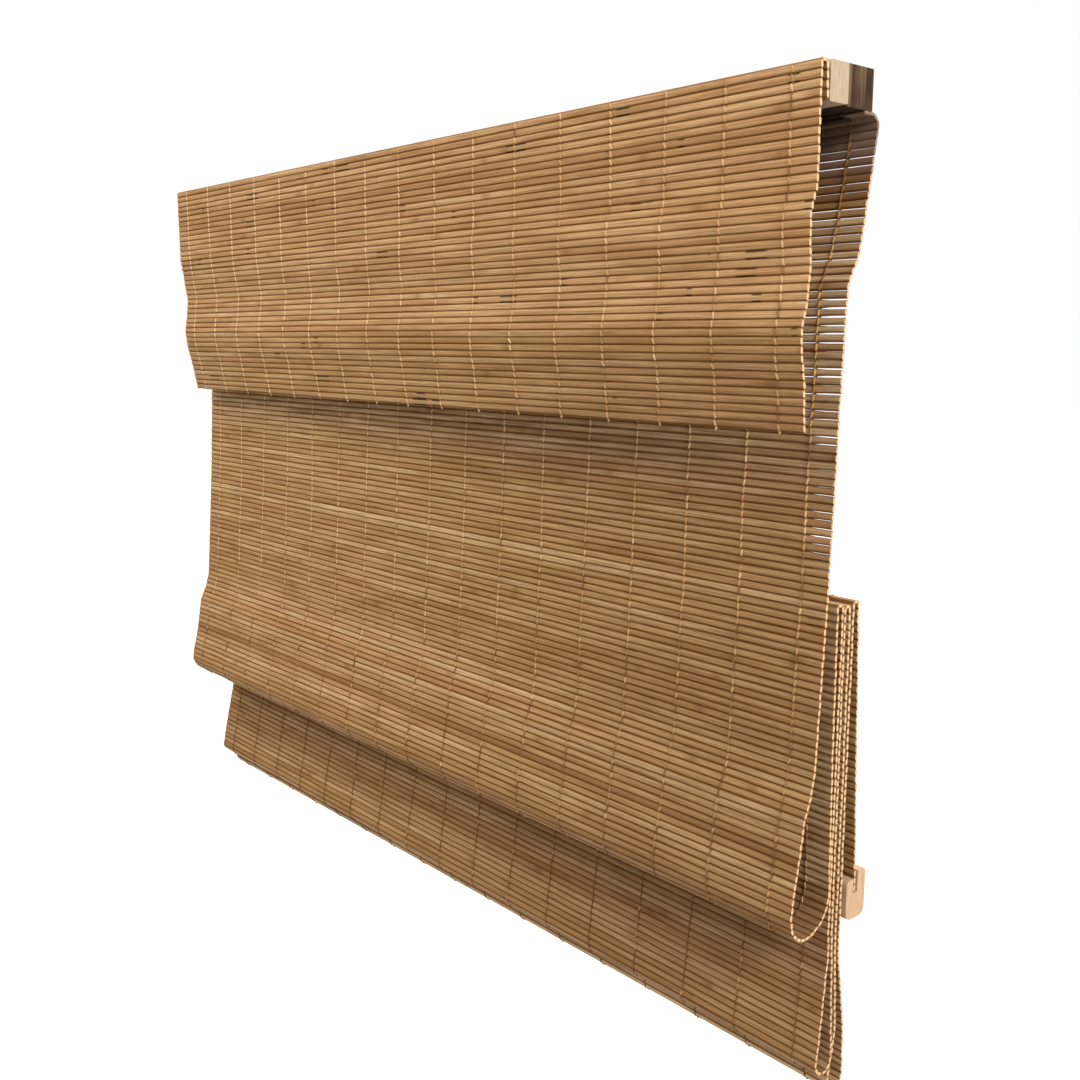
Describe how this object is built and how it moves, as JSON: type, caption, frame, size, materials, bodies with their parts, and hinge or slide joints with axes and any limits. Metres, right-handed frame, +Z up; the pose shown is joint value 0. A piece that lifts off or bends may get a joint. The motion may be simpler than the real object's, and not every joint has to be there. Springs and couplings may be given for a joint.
{
  "type": "woven bamboo fold-up blind",
  "caption": "Woven bamboo window blind with a short valance: a slat mat hangs from a head rail and folds into a stack behind its front drop, ending in a slotted wooden bottom rail.",
  "frame": {"origin": "midway between the two fixing holes, on the top face of the head board", "axes": "+X to the right seen from the room, +Y to the wall, +Z up"},
  "size_m": [0.88, 0.0906, 0.6917],
  "materials": {
    "bamboo": "satin",
    "pale_wood": "matte",
    "brown_steel": "satin",
    "brown_plastic": "satin",
    "bright_steel": "satin",
    "white_plastic": "satin",
    "grey_plastic": "matte"
  },
  "bodies": {
    "head": {"valance_board": "pale_wood", "valance_mat": "bamboo", "valance_staples": "bright_steel", "head_channel": "brown_steel", "end_cap_left": "brown_plastic", "end_cap_right": "brown_plastic", "board_screws": "bright_steel", "clamp_strip": "brown_steel", "clamp_screws": "bright_steel", "front_drop": "bamboo", "spool_cradle_left": "grey_plastic", "spool_cradle_middle": "grey_plastic", "spool_cradle_right": "grey_plastic", "spring_motor": "grey_plastic"},
    "stack": {"fold_stack": "bamboo", "bottom_rail": "pale_wood", "rail_pins": "bright_steel", "lift_rings": "white_plastic"},
    "shaft": {"lift_shaft": "bright_steel", "cord_spool_left": "white_plastic", "cord_spool_middle": "white_plastic", "cord_spool_right": "white_plastic", "shaft_collars": "bright_steel"}
  },
  "joints": [
    {"name": "blind_lift", "type": "slide", "parent": "head", "child": "stack", "axis": [0, 0, 1], "range_m": [-0.2, 0.1], "deforming": ["front_drop"]},
    {"name": "shaft_spin", "type": "hinge", "parent": "head", "child": "shaft", "pos_m": [0, 0.022, -0.0125], "axis": [1, 0, 0], "range_deg": [-1930, 970]}
  ],
  "couplings": [
    {"joint": "shaft_spin", "follows": "blind_lift", "rad_per_m": 166.67}
  ]
}
